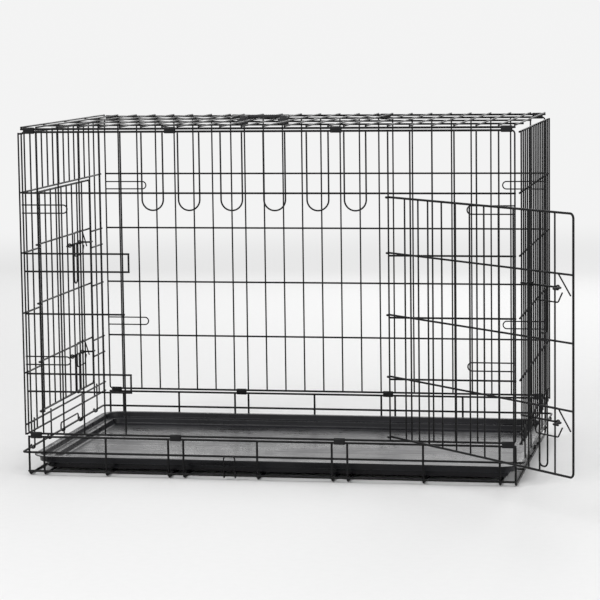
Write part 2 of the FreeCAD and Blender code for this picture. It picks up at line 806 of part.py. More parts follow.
drill = doc.addObject("Part::MultiFuse", "handle_bores")
drill.Shapes = bores
handle = doc.addObject("Part::Cut", "carry_handle")
handle.Label = "carry_handle"
handle.Base = whole
handle.Tool = drill
nodes.append(handle)
doc.recompute()

# Every object sound before anything is written
for item in doc.Objects:
    if "Invalid" in item.State or "Error" in item.State:
        raise RuntimeError("not built: " + item.Label)
os.makedirs("parts", exist_ok=True)
for part in nodes:
    if part.Shape.isNull() or not part.Shape.isValid():
        raise RuntimeError("shape not sound: " + part.Label)
    part.Shape.exportStep("parts/" + part.Label + ".step")
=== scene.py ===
import math

import bpy
import numpy as np
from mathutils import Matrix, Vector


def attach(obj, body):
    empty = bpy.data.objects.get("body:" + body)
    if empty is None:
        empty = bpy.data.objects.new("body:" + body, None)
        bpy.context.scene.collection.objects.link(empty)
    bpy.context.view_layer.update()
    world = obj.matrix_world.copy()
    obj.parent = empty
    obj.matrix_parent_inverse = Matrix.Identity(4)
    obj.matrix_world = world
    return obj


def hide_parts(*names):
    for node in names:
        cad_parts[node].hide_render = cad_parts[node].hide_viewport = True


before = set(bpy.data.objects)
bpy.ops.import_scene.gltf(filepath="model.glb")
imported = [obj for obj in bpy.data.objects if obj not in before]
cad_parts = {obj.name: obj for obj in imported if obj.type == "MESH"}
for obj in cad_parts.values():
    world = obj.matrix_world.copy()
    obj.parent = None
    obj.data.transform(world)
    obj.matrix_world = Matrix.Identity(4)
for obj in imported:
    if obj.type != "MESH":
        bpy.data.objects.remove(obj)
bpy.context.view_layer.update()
print("frame loaded")

# wire stock; sizes are in millimetres up to the studio, which is in metres
wire = dict(
    thin=3.0, cross=3.5, heavy=4.0, light=2.5,  # diameters
    sink=0.2, butt=0.05,  # overlap of wires that cross, and of an end on a side
    gap=0.35, curl=240,  # running clearance, and the turn of an eye in degrees
    bow=0.12, bowSpan=400.0, bowSeed=36,  # bow of a straight run, whole from this length on
    sides=14, rings=9, crossRings=11, longRings=15,
    nip=0.3, nipSize=0.76,  # rounded ends, as shares of the radius
    leastStep=1e-4)  # points of a route closer than this are one point
thin, cross, heavy, light = wire["thin"], wire["cross"], wire["heavy"], wire["light"]
crossStep = (thin + cross) / 2 - wire["sink"]
loopStep = (thin + light) / 2 - wire["sink"]
railStep = (thin + heavy) / 2 - wire["sink"]
twinStep = heavy - wire["sink"]
railTop = heavy / 2 - wire["butt"]
wobble = np.random.default_rng(wire["bowSeed"])
millimetre = 0.001

# the box of wires: a narrow gap at each hinge clip, and bays of even pitch between them
cage = dict(pitch=39.5, narrow=28.5, bays=(6, 7, 7), depth=560.0, rows=5, rowGap=111.5,
            hingeZ=78.0, overhang=1.5, cornerBend=6.0)
gaps = [cage["narrow"]]
for bay in cage["bays"]:
    gaps += [cage["pitch"]] * bay + [cage["narrow"]]
clipGaps = [n for n, gap in enumerate(gaps) if gap == cage["narrow"]]
halfLength = sum(gaps) / 2
halfDepth = cage["depth"] / 2
front, back = -halfDepth, halfDepth
reachX, reachY = halfLength + cage["overhang"], halfDepth + cage["overhang"]
columns = np.concatenate([[0.0], np.cumsum(gaps)]) - halfLength
levels = [cage["hingeZ"] + (cage["rows"] - n) * cage["rowGap"] for n in range(cage["rows"] + 1)]


def unit(vector):
    return vector / np.linalg.norm(vector, axis=-1, keepdims=True)


# directions tried for the first axis of a wire's section
guides = unit(np.array([
    [1, 0, 0], [0, 1, 0], [0, 0, 1], [1, 1, 0], [1, 0, 1], [0, 1, 1], [1, -1, 0.3]], float))


# direction of a route at each point: the mean of the two runs that meet there
def tangents(route):
    runs = unit(np.diff(route, axis=0))
    return unit(np.vstack([runs[:1], runs[:-1] + runs[1:], runs[-1:]]))


# runs joined by tangent arcs: p(a) = c + b (cos a u + sin a v) at each corner
def roundedRoute(corners, bend, steps=7):
    corners = np.asarray(corners, float)
    bends = np.broadcast_to(np.asarray(bend, float), len(corners) - 2)
    stretches = [corners[:1]]
    for before, corner, after, b in zip(corners, corners[1:], corners[2:], bends):
        toBefore, toAfter = unit(before - corner), unit(after - corner)
        half = math.acos(max(-1.0, min(1.0, float(toBefore @ toAfter)))) / 2
        centre = corner + unit(toBefore + toAfter) * b / math.sin(half)
        first = corner + toBefore * b / math.tan(half)
        last = corner + toAfter * b / math.tan(half)
        u = unit(first - centre)
        v = unit((last - centre) - ((last - centre) @ u) * u)
        a = np.linspace(0, math.pi - 2 * half, steps + 1)[:, None]
        stretches.append(centre + b * (np.cos(a) * u + np.sin(a) * v))
    stretches.append(corners[-1:])
    return np.vstack(stretches)


# part of a circle: p(a) = c + r (cos a u + sin a v), a in degrees
def arcRoute(centre, u, v, radius, first, last, steps=20):
    centre, u, v = (np.asarray(vector, float) for vector in (centre, u, v))
    a = np.radians(np.linspace(first, last, steps + 1))[:, None]
    return centre + radius * (np.cos(a) * u + np.sin(a) * v)


# straight run with a slight bow: p(t) = s + t (e - s) + k sin(pi t) n
def straight(start, end, rings=wire["rings"]):
    start, end = np.asarray(start, float), np.asarray(end, float)
    t = np.linspace(0, 1, rings)[:, None]
    along = unit(end - start)
    side = np.cross(along, wobble.normal(size=3))
    amount = wire["bow"] * min(1.0, np.linalg.norm(end - start) / wire["bowSpan"])
    return start + t * (end - start) + amount * np.sin(math.pi * t) * unit(side)


# a grid of points q(i, j) closed both ways: i round the ring and j round its section
def ringGrid(points):
    rows, cols = points.shape[:2]
    i = np.arange(rows)[:, None]
    j = np.arange(cols)[None]
    a, b = (i + 1) % rows, (j + 1) % cols
    quads = np.stack([i * cols + j, a * cols + j, a * cols + b, i * cols + b], axis=2)
    return points.reshape(-1, 3), quads.reshape(-1, 4).tolist()


# the same grid left open along i, with both ends capped
def cappedGrid(points):
    rows, cols = points.shape[:2]
    verts, quads = ringGrid(points)
    last = (rows - 1) * cols
    caps = [list(range(cols)), list(range(last, last + cols))[::-1]]
    return verts, quads[:last] + caps


# scalar product of each two rows
def rowDots(first, second):
    return np.sum(first * second, axis=1, keepdims=True)


# round wire along a route: q(i, a) = p(i) + r(i) (cos a n(i) + sin a b(i)); the ends are
# slightly rounded, or blunt where they meet another length of the same wire
def tube(route, dia, blunt=False):
    apart = np.linalg.norm(np.diff(route, axis=0), axis=1) > wire["leastStep"]
    route = route[np.concatenate([[True], apart])]
    tangent = tangents(route)
    radius = dia / 2
    nip = wire["nip"] * radius
    points = np.vstack([
        route[:1], route[:1] + tangent[:1] * nip, route[1:-1],
        route[-1:] - tangent[-1:] * nip, route[-1:]])
    tangent = np.vstack([tangent[:1], tangent, tangent[-1:]])
    size = np.full(len(points), radius)
    size[[0, -1]] = radius * (1.0 if blunt else wire["nipSize"])
    clear = np.linalg.norm(np.cross(guides[:, None], tangent[None]), axis=2).min(axis=1)
    guide = guides[clear.argmax()]
    normal = unit(guide - (tangent @ guide)[:, None] * tangent)
    other = np.cross(normal, tangent)
    # turn each ring back by what the guide has turned it since the first one
    carried = normal[:-1] - rowDots(normal[:-1], tangent[1:]) * tangent[1:]
    turns = np.arctan2(rowDots(carried, other[1:]), rowDots(carried, normal[1:]))
    lag = np.vstack([np.zeros((1, 1)), np.cumsum(turns, axis=0)])
    c, s = np.cos(lag), np.sin(lag)
    normal, other = c * normal + s * other, c * other - s * normal
    a = np.linspace(0, 2 * math.pi, wire["sides"], endpoint=False)[None, :, None]
    ring = np.cos(a) * normal[:, None] + np.sin(a) * other[:, None]
    return cappedGrid(points[:, None] + size[:, None, None] * ring)


# one half of a section (x, r), followed back along its mirror image in x
def mirrored(half):
    half = np.array(half, float)
    return np.vstack([half, (half * (-1, 1))[::-1]])


# turn about the upright hinge line, then shift to it
def stood(route, hinge, degrees):
    c, s = math.cos(math.radians(degrees)), math.sin(math.radians(degrees))
    return route @ np.array([[c, s, 0], [-s, c, 0], [0, 0, 1]]) + np.array([*hinge, 0])


def addPiece(name, body, node, shapes, material):
    verts, faces, count = [], [], 0
    for points, quads in shapes:
        verts.append(points)
        faces.extend([[n + count for n in face] for face in quads])
        count += len(points)
    mesh = bpy.data.meshes.new(name)
    mesh.from_pydata(np.vstack(verts) * millimetre, [], faces)
    mesh.polygons.foreach_set("use_smooth", np.ones(len(mesh.polygons), bool))
    mesh.materials.append(material)
    piece = bpy.data.objects.new(name, mesh)
    bpy.context.scene.collection.objects.link(piece)
    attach(piece, body)
    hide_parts(node)


# one socket in a node tree; sums and products of sockets add Math nodes
class Flow:
    def __init__(self, tree, socket=None):
        self.tree, self.socket = tree, socket

    def node(self, kind, settings=None, sockets=None, output=0):
        made = self.tree.nodes.new(kind)
        for key, value in (settings or {}).items():
            setattr(made, key, value)
        for key, value in (sockets or {}).items():
            if isinstance(value, Flow):
                self.tree.links.new(value.socket, made.inputs[key])
            else:
                made.inputs[key].default_value = value
        return Flow(self.tree, made.outputs[output] if made.outputs else None)

    def math(self, operation, first, second):
        return self.node("ShaderNodeMath", {"operation": operation}, {0: first, 1: second})

    def __add__(self, other):
        return self.math("ADD", self, other)

    def __radd__(self, other):
        return self.math("ADD", other, self)

    def __sub__(self, other):
        return self.math("SUBTRACT", self, other)

    def __mul__(self, other):
        return self.math("MULTIPLY", self, other)

    def __rmul__(self, other):
        return self.math("MULTIPLY", other, self)


def newMaterial(name):
    material = bpy.data.materials.new(name)
    material.use_nodes = True
    material.node_tree.nodes.clear()
    return material, Flow(material.node_tree)


def objectPlace(flow):
    return flow.node("ShaderNodeTexCoord", output="Object")


# cloudy noise from 0 to 1; the pattern gives its scale, detail and roughness
def noise(flow, place, pattern):
    scale, detail, rough = pattern
    return flow.node("ShaderNodeTexNoise", {}, {
        "Vector": place, "Scale": scale, "Detail": detail, "Roughness": rough})


# 0 below the first edge, 1 above the second
def between(flow, value, edges, interpolation="LINEAR"):
    return flow.node("ShaderNodeMapRange", {"interpolation_type": interpolation}, {
        "Value": value, "From Min": edges[0], "From Max": edges[1]})


# the Mix node's colour sockets are known by place: share 0, colours 6 and 7, result 2
def mixColour(flow, share, first, second):
    return flow.node("ShaderNodeMix", {"data_type": "RGBA"}, {0: share, 6: first, 7: second}, 2)


# black dip coat on steel wire: orange peel, faint dust and a worn sheen
wireCoat = dict(
    dark=(0.004, 0.004, 0.0043, 1), worn=(0.011, 0.011, 0.0117, 1), wornShare=0.7,
    patches=(9.0, 4.0, 0.6), patchEdges=(0.42, 0.72), grain=(900.0, 2.0, 0.5),
    peel=0.25, peelDepth=0.0002, rough=0.38, wornRough=0.18, grainRough=0.06,
    coat=0.03, coatRough=0.25, gloss=0.12)
clipCoat = dict(
    wireCoat, dark=(0.009, 0.009, 0.0095, 1), worn=(0.016, 0.016, 0.017, 1), rough=0.42)


def coatMaterial(name, look):
    material, flow = newMaterial(name)
    place = objectPlace(flow)
    patches = noise(flow, place, look["patches"])
    grain = noise(flow, place, look["grain"])
    share = between(flow, patches, look["patchEdges"])
    colour = mixColour(flow, share * look["wornShare"], look["dark"], look["worn"])
    bump = flow.node("ShaderNodeBump", {}, {
        "Strength": look["peel"], "Distance": look["peelDepth"], "Height": grain})
    rough = look["rough"] + look["wornRough"] * share + look["grainRough"] * (grain - 0.5)
    shader = flow.node("ShaderNodeBsdfPrincipled", {}, {
        "Base Color": colour, "Roughness": rough, "Normal": bump, "Coat Weight": look["coat"],
        "Coat Roughness": look["coatRough"], "Specular IOR Level": look["gloss"]})
    flow.node("ShaderNodeOutputMaterial", {}, {"Surface": shader})
    return material


wireBlack = coatMaterial("wireBlackCoat", wireCoat)
clipBlack = coatMaterial("clipBlackCoat", clipCoat)
print("coats mixed")


def wirePiece(name, body, node, shapes):
    addPiece(name, body, node, shapes, wireBlack)


# wire along the cage from end to end
def longWire(y, z, dia):
    return tube(straight((-reachX, y, z), (reachX, y, z), wire["longRings"]), dia)


# wire across the cage, as far to the front as to the back
def deepWire(x, reach, z, dia, blunt=False):
    return tube(straight((x, -reach, z), (x, reach, z)), dia, blunt)


# basket: floor runs, turned-up risers, rails and lips
basket = dict(railDrop=6.0, riserBend=8.0, riserFoot=20.0, lipAngle=8.0, floorRow=140.0)
basketZ = cage["hingeZ"] - basket["railDrop"]
floorZ = heavy / 2
floorCrossZ = floorZ + (heavy + cross) / 2 - wire["sink"]
footY = halfDepth - basket["riserFoot"]
lipReach = basket["riserBend"] + heavy - wire["butt"]
lipTurn = math.radians(basket["lipAngle"])
lipY = halfDepth - basket["riserBend"] + lipReach * math.cos(lipTurn)
lipZ = floorZ + basket["riserBend"] - lipReach * math.sin(lipTurn)
floorX = [columns[m] for n in clipGaps for m in (n, n + 1)]
floorX += [(columns[a + 1] + columns[b]) / 2 for a, b in zip(clipGaps, clipGaps[1:])]
rowY = (-basket["floorRow"], 0.0, basket["floorRow"])


def riser(x, side):
    wall, foot = side * halfDepth, side * footY
    corners = [(x, wall, basketZ - railTop), (x, wall, floorZ), (x, foot, floorZ)]
    return tube(roundedRoute(corners, basket["riserBend"]), heavy, blunt=True)


wirePiece("floorWires", "basket", "floor_wires",
          [deepWire(x, footY, floorZ, heavy, blunt=True) for x in floorX])
wirePiece("frontRisers", "basket", "front_risers", [riser(x, -1) for x in floorX])
wirePiece("backRisers", "basket", "back_risers", [riser(x, 1) for x in floorX])
wirePiece("floorCrossWires", "basket", "floor_cross_wires",
          [longWire(y, floorCrossZ, cross) for y in rowY])

# end rails with corners turned back to meet the side runs, and the end panels that hang on them
ends = dict(
    clear=10.0, hingeZ=42.0, cornerBend=8.0, back=48.0, cornerRun=14.0,
    pitch=35.6, count=16, overhang=2.0, stripFront=3, stripBack=13,
    topZ=632.0, secondZ=93.0, lowZ=75.0, legTop=97.0, legGaps=(1, 4, 10, 13))
eyeRadius = (heavy + thin) / 2 + wire["gap"]
endX = halfLength + ends["clear"]
endHingeX = endX + eyeRadius
returnY = halfDepth - twinStep


def endRail(side):
    out, z, run = side * endHingeX, ends["hingeZ"], returnY - ends["cornerRun"]
    middle = straight((out, -run, z), (out, run, z))
    turned = []
    for hand in (-1, 1):
        wall = hand * returnY
        corners = [(out, hand * run, z), (out, wall, z), (out - side * ends["back"], wall, z)]
        turned.append(roundedRoute(corners, ends["cornerBend"]))
    return tube(np.vstack([turned[0][::-1], middle, turned[1]]), heavy, blunt=True)


def sideRun(hand):
    run, y, z = endHingeX - ends["back"], hand * returnY, ends["hingeZ"]
    return tube(straight((-run, y, z), (run, y, z), wire["longRings"]), heavy, blunt=True)


rails = [longWire(y, basketZ, heavy) for y in (front, back)]
rails += [longWire(y, lipZ, heavy) for y in (-lipY, lipY)]
rails += [sideRun(hand) for hand in (-1, 1)]
wirePiece("basketRails", "basket", "basket_rails", rails)
wirePiece("leftEndRail", "basket", "left_end_rail", [endRail(-1)])
wirePiece("rightEndRail", "basket", "right_end_rail", [endRail(1)])

# hinge clips of rolled sheet, each round two rails
clip = dict(length=20.0, sheet=0.8, edge=0.25, topRise=5.5, steps=13)
topZ = levels[0] + clip["topRise"]


# strip section with broken edges, carried under the low rail and over the high one:
# q(i, j) = (x + x(j), c(i) + (b + r(j)) o(i)), o(i) being two half turns
def clipRing(x, y, low, high):
    a = np.linspace(0, math.pi, clip["steps"])
    over = np.stack([np.cos(a), np.sin(a)], axis=1)
    out = np.vstack([-over, over])
    core = np.repeat([(y, low), (y, high)], clip["steps"], axis=0)
    bore = heavy / 2 + wire["gap"]
    half, e, s = clip["length"] / 2, clip["edge"], clip["sheet"]
    section = mirrored([(e - half, 0), (-half, e), (-half, s - e), (e - half, s)])
    flat = core[:, None] + (bore + section[None, :, 1:]) * out[:, None]
    along = np.broadcast_to(x + section[None, :, :1], (*flat.shape[:2], 1))
    return ringGrid(np.concatenate([along, flat], axis=2))


for word, body, low, high in (
        ("basket", "basket", basketZ, cage["hingeZ"]), ("top", "top_panel", levels[0], topZ)):
    for edge, y in (("front", front), ("back", back)):
        shapes = [clipRing((columns[n] + columns[n + 1]) / 2, y, low, high) for n in clipGaps]
        addPiece(word + edge.capitalize() + "Clips", body, word + "_" + edge + "_clips",
                 shapes, clipBlack)
print("basket and clips made")

# standing panels: rails, uprights, cross wires, loops and strikes; rows count from the top rail
panel = dict(
    stripLeft=5, stripRight=18, midRows=(2, 3, 4), stopDrop=31.0, stopSteps=14,
    strikeRows=(2, 4), strikeDrop=33.0, strikeReach=10.5,
    loopWidth=15.0, loopReach=86.0, loopSteps=10,
    frontLoops=(215.0, 495.0), backLoops=(219.0, 500.0))
panelLow, panelHigh = levels[-1] + railTop, levels[0] - railTop
stripLeft, stripRight = panel["stripLeft"], panel["stripRight"]
midRows, strikeRows = panel["midRows"], panel["strikeRows"]


def panelRails(y):
    run = halfLength - cage["cornerBend"]
    return [tube(straight((-run, y, z), (run, y, z), wire["longRings"]), heavy)
            for z in (levels[-1], levels[0])]


# edge wire with both ends turned along the rails
def edgeUpright(x, y):
    bend = cage["cornerBend"]
    turned = x - math.copysign(bend, x)
    corners = [(turned, levels[-1]), (x, levels[-1]), (x, levels[0]), (turned, levels[0])]
    return tube(roundedRoute([(u, y, z) for u, z in corners], bend), thin)


def uprights(y, places):
    shapes = [edgeUpright(x, y) for x in (-halfLength, halfLength)]
    shapes += [tube(straight((x, y, panelLow), (x, y, panelHigh)), thin) for x in places]
    return shapes


def cornerLoops(y, centres):
    half = panel["loopWidth"] / 2
    shapes = []
    for side in (-1, 1):
        root, tip = side * reachX, side * (reachX - panel["loopReach"])
        for z in centres:
            corners = [(root, y, z + half), (tip, y, z + half), (tip, y, z - half), (root, y, z - half)]
            shapes.append(tube(roundedRoute(corners, half, panel["loopSteps"]), light))
    return shapes


def crossWire(y, z, start, end):
    return tube(straight((start, y, z), (end, y, z), wire["crossRings"]), cross)


def strikeBar(x, y, row):
    trim = cross / 2 - wire["butt"]
    low, high = levels[row] - panel["strikeDrop"], levels[row]
    return tube(straight((x, y, low + trim), (x, y, high - trim)), cross)


# hanging loop between two columns, against which the door closes
def stopLoop(column):
    left, right = columns[column], columns[column + 1]
    low = levels[1] - panel["stopDrop"]
    corners = [(left, panelHigh), (left, low), (right, low), (right, panelHigh)]
    route = roundedRoute([(x, front, z) for x, z in corners], (right - left) / 2, panel["stopSteps"])
    return tube(route, thin)


crossY = front + crossStep
barX = columns[stripLeft] + panel["strikeReach"]
barEnd = barX + cross / 2
frontColumns = [*range(1, stripLeft + 1), *range(stripRight, len(gaps))]
wirePiece("frontRails", "front_panel", "front_rails", panelRails(front))
wirePiece("frontVerticals", "front_panel", "front_verticals", uprights(front, columns[frontColumns]))
shapes = [crossWire(crossY, levels[1], -reachX, reachX)]
for n in midRows:
    end = barEnd if n in strikeRows else columns[stripLeft] + cage["overhang"]
    shapes.append(crossWire(crossY, levels[n], -reachX, end))
    shapes.append(crossWire(crossY, levels[n], columns[stripRight] - cage["overhang"], reachX))
wirePiece("frontCrossWires", "front_panel", "front_cross_wires", shapes)
shapes = []
for n in strikeRows:
    shapes.append(crossWire(crossY, levels[n] - panel["strikeDrop"], -reachX, barEnd))
    shapes.append(strikeBar(barX, crossY, n))
wirePiece("frontStrikes", "front_panel", "front_strikes", shapes)
wirePiece("doorStopLoops", "front_panel", "door_stop_loops",
          [stopLoop(n) for n in range(stripLeft + 1, stripRight, 2)])
wirePiece("frontCornerLoops", "front_panel", "front_corner_loops",
          cornerLoops(front - loopStep, panel["frontLoops"]))

wirePiece("backRails", "back_panel", "back_rails", panelRails(back))
wirePiece("backVerticals", "back_panel", "back_verticals", uprights(back, columns[1:-1]))
wirePiece("backCrossWires", "back_panel", "back_cross_wires",
          [crossWire(back + crossStep, z, -reachX, reachX) for z in levels[1:-1]])
wirePiece("backCornerLoops", "back_panel", "back_corner_loops",
          cornerLoops(back + loopStep, panel["backLoops"]))

topCrossZ = topZ + railStep
topMidZ = topCrossZ - crossStep
rails = [longWire(y, topZ, heavy) for y in (front, back)]
rails += [longWire(y, topMidZ, cross) for y in rowY]
wirePiece("topRails", "top_panel", "top_rails", rails)
wirePiece("topCrossWires", "top_panel", "top_cross_wires",
          [deepWire(x, reachY, topCrossZ, thin) for x in columns])
print("side and top panels made")

# end panels: uprights, inner cross wires and legs curled round the end rails
stripFront, stripBack = ends["stripFront"], ends["stripBack"]
endMiddle = (ends["count"] - 1) / 2
endY = (np.arange(ends["count"]) - endMiddle) * ends["pitch"]
edgeY = endY[-1] + ends["overhang"]
barY = endY[stripBack] - panel["strikeReach"]
barStart = barY - cross / 2


def endWire(x, z, start, end):
    return tube(straight((x, start, z), (x, end, z)), cross)


def endPanel(side, doorway):
    plane, inside = side * endX, side * (endX - crossStep)
    over = ends["overhang"]
    tall, flat, legs = [], [], []
    for n, y in enumerate(endY):
        low = levels[1] if doorway and stripFront < n < stripBack else ends["lowZ"]
        tall.append(tube(straight((plane, y, low - over), (plane, y, ends["topZ"] + over)), thin))
    for z in (ends["topZ"], levels[1], ends["secondZ"], ends["lowZ"]):
        flat.append(endWire(inside, z, -edgeY, edgeY))
    for n in midRows:
        if not doorway:
            flat.append(endWire(inside, levels[n], -edgeY, edgeY))
            continue
        start = barStart if n in strikeRows else endY[stripBack] - over
        flat.append(endWire(inside, levels[n], -edgeY, endY[stripFront] + over))
        flat.append(endWire(inside, levels[n], start, edgeY))
    for gap in ends["legGaps"]:
        y = (gap + 0.5 - endMiddle) * ends["pitch"]
        eye = (side * endHingeX, y, ends["hingeZ"])
        curl = arcRoute(eye, (-side, 0, 0), (0, 0, -1), eyeRadius, 0, wire["curl"])
        legs.append(tube(np.vstack([[[plane, y, ends["legTop"]]], curl]), thin))
    return tall, flat, legs


for word, side, doorway in (("left", -1, True), ("right", 1, False)):
    title = word + "_end"
    tall, flat, legs = endPanel(side, doorway)
    wirePiece(word + "EndVerticals", title, title + "_verticals", tall)
    wirePiece(word + "EndCrossWires", title, title + "_cross_wires", flat)
    wirePiece(word + "EndHinges", title, title + "_hinges", legs)
shapes = []
for n in strikeRows:
    shapes.append(endWire(crossStep - endX, levels[n] - panel["strikeDrop"], barStart, edgeY))
    shapes.append(strikeBar(crossStep - endX, barY, n))
wirePiece("leftStrikes", "left_end", "left_strikes", shapes)
print("end panels made")

# doors, drawn about the hinge line: x to the free edge, y outward, z up
door = dict(bend=8.0, freeReach=10.5, lift=5.0)
frontDoor = dict(low=85.0, top=517.0, turn=315.0)  # shut at 180 degrees
leftDoor = dict(low=100.0, top=516.0, turn=90.0)  # shut
guard = dict(back=13.5, shoulder=5.0, hook=37.0, fall=11.0, front=16.0, half=24.0, mouth=7.0, bend=5.0)
bolt = dict(
    drop=19.5, tail=56.0, bend=4.5, tip=15.0, tipClear=0.5,
    first=-8.0, width=21.0, paddle=79.0, paddleBend=9.0,
    ringGap=0.4, ringSteps=24, ringSides=10)
doorPlane = (thin + heavy) / 2 + wire["gap"]
doorFace = doorPlane + crossStep
guardPlane = doorFace + loopStep
ringMajor = (cross + light) / 2 + bolt["ringGap"]
boltPlane = doorFace + thin / 2 + ringMajor + light / 2 - wire["butt"]
tipPlane = crossStep + cross + wire["gap"]
tipBack = panel["strikeReach"] + cross + bolt["tipClear"]


# eye round the hinge upright, at the end of a door's wire
def doorCurl(z):
    return arcRoute((0, 0, z), (0, 1, 0), (-1, 0, 0), doorPlane, wire["curl"], 0)


# open bent wire round a bolt's handle: a slanted end, round the back, and a mouth below
def guardRoute(previous, final, z):
    near, shoulder = previous - guard["back"], final + guard["shoulder"]
    low, high = z - guard["half"], z + guard["half"]
    corners = [
        (final + guard["hook"], z - guard["fall"]), (shoulder, high), (near, high),
        (near, low), (shoulder, low), (final + guard["front"], z - guard["mouth"])]
    return roundedRoute([(x, guardPlane, height) for x, height in corners], guard["bend"])


# guide ring: q(t, s) = c + (m + r cos s) (cos t y + sin t z) + r sin s x
def guideRing(x, z):
    t = np.linspace(0, 2 * math.pi, bolt["ringSteps"], endpoint=False)[:, None]
    s = np.linspace(0, 2 * math.pi, bolt["ringSides"], endpoint=False)[None]
    far = ringMajor + light / 2 * np.cos(s)
    return ringGrid(np.stack([
        x + light / 2 * np.sin(s) + 0 * t,
        boltPlane + far * np.cos(t), z + far * np.sin(t)], axis=2))


# cranked rod that hooks behind the strike bar, and the U handle under it
def boltRoutes(previous, strike, z):
    tip = strike - tipBack
    crank = tip - bolt["tip"]
    rod = roundedRoute([
        (previous - bolt["tail"], boltPlane, z), (crank, boltPlane, z),
        (crank, -tipPlane, z), (tip, -tipPlane, z)], bolt["bend"])
    first = previous + bolt["first"]
    second = first + bolt["width"]
    under, foot = z - cross / 2 + wire["butt"], z - bolt["paddle"]
    corners = [(first, under), (first, foot), (second, foot), (second, under)]
    return rod, roundedRoute([(x, boltPlane, h) for x, h in corners], bolt["paddleBend"])


def buildDoor(word, hinge, bars, strike, low, top, turn):
    title = word + "_door"
    ringBar, previous, final = bars[-3:]
    reach = strike + door["freeReach"]
    ending = reach - heavy / 2 + wire["butt"]
    over = cage["overhang"]
    heights = [levels[n] - bolt["drop"] for n in strikeRows]

    def placed(route, dia):
        return tube(stood(route, hinge, turn), dia)

    corners = [(0, low), (reach, low), (reach, top), (0, top)]
    edge = roundedRoute([(x, doorPlane, z) for x, z in corners], door["bend"])
    wirePiece(word + "DoorFrame", title, title + "_frame",
              [placed(np.vstack([doorCurl(low), edge, doorCurl(top)[::-1]]), heavy)])
    rows = [levels[n] + door["lift"] for n in midRows]
    wirePiece(word + "DoorCrossWires", title, title + "_cross_wires",
              [placed(np.vstack([doorCurl(z), [[ending, doorPlane, z]]]), cross) for z in rows])
    tall = [straight((x, doorFace, low - over), (x, doorFace, top + over)) for x in bars]
    wirePiece(word + "DoorVerticals", title, title + "_verticals",
              [placed(route, thin) for route in tall])
    wirePiece(word + "LatchGuards", title, title + "_latch_guards",
              [placed(guardRoute(previous, final, z), light) for z in heights])
    rings = [guideRing(x, z) for z in heights for x in (ringBar, final)]
    wirePiece(word + "GuideRings", title, title + "_guide_rings",
              [(stood(points, hinge, turn), quads) for points, quads in rings])
    for place, z in zip(("upper", "lower"), heights):
        rod, paddle = boltRoutes(previous, strike, z)
        wirePiece(word + place.capitalize() + "Bolt", word + "_" + place + "_bolt",
                  title + "_" + place + "_bolt", [placed(rod, cross), placed(paddle, thin)])


frontBars = [columns[stripRight] - columns[n] for n in range(stripRight - 1, stripLeft, -1)]
frontSpan = columns[stripRight] - columns[stripLeft]
buildDoor("front", (columns[stripRight], front), frontBars, frontSpan, **frontDoor)
leftBars = [n * ends["pitch"] for n in range(1, stripBack - stripFront)]
leftSpan = (stripBack - stripFront) * ends["pitch"]
buildDoor("left", (-endX, endY[stripFront]), leftBars, leftSpan, **leftDoor)
print("doors and bolts made")

# tray stop and fold hook: wire U with both ends curled round a rail
stopper = dict(half=60.0, middle=42.0, rise=12.0, bend=6.0)
hook = dict(x=-70.5, half=10.5, rise=36.0, bend=6.0)


# from the curl at one foot up, across, down and round the curl at the other foot
def curledStaple(first, second, away, radius, rise, bend):
    first, second, away = (np.array(vector, float) for vector in (first, second, away))
    down, lift = (0, 0, -1), np.array([0, 0, rise])
    near, far = first + radius * away, second + radius * away
    return np.vstack([
        arcRoute(first, away, down, radius, wire["curl"], 0),
        roundedRoute([near, near + lift, far + lift, far], bend),
        arcRoute(second, away, down, radius, 0, wire["curl"])])


feet = [(-endHingeX, stopper["middle"] + side * stopper["half"], ends["hingeZ"]) for side in (-1, 1)]
route = curledStaple(*feet, (-1, 0, 0), eyeRadius, stopper["rise"], stopper["bend"])
wirePiece("trayStop", "tray_stop", "tray_stop", [tube(route, thin)])
feet = [(hook["x"] + side * hook["half"], -lipY, lipZ) for side in (-1, 1)]
hookRadius = (heavy + light) / 2 + wire["gap"]
route = curledStaple(*feet, (0, -1, 0), hookRadius, hook["rise"], hook["bend"])
wirePiece("foldHook", "fold_hook", "fold_hook", [tube(route, light)])
print("tray stop and fold hook made")

# moulded plastic: fine leather grain, scuffs on the floor, dull sheen
trayLook = dict(
    dark=(0.004, 0.004, 0.0052, 1), scuffed=(0.02, 0.02, 0.0235, 1), scuffEdges=(0.38, 0.64),
    grainScale=420.0, cloud=(7.0, 5.0, 0.65), scuff=(1.0, 4.0, 0.6), scuffStretch=(4.0, 90.0, 20.0),
    rough=0.17, scuffRough=0.3, bump=0.22, bumpDepth=0.0003, scuffBump=0.8, gloss=0.25)
gripLook = dict(trayLook, scuffed=(0.028, 0.028, 0.03, 1), rough=0.4)


def plasticMaterial(name, look):
    material, flow = newMaterial(name)
    place = objectPlace(flow)
    grain = flow.node("ShaderNodeTexVoronoi", {"feature": "SMOOTH_F1"}, {
        "Vector": place, "Scale": look["grainScale"]})
    cloud = noise(flow, place, look["cloud"])
    stretched = flow.node("ShaderNodeVectorMath", {"operation": "MULTIPLY"}, {
        0: place, 1: look["scuffStretch"]})
    scuff = noise(flow, stretched, look["scuff"])
    share = between(flow, 0.5 * cloud + 0.5 * scuff, look["scuffEdges"])
    bump = flow.node("ShaderNodeBump", {}, {
        "Strength": look["bump"], "Distance": look["bumpDepth"],
        "Height": grain + look["scuffBump"] * scuff})
    shader = flow.node("ShaderNodeBsdfPrincipled", {}, {
        "Base Color": mixColour(flow, share, look["dark"], look["scuffed"]),
        "Roughness": look["rough"] + look["scuffRough"] * share,
        "Normal": bump, "Specular IOR Level": look["gloss"]})
    flow.node("ShaderNodeOutputMaterial", {}, {"Surface": shader})
    return material


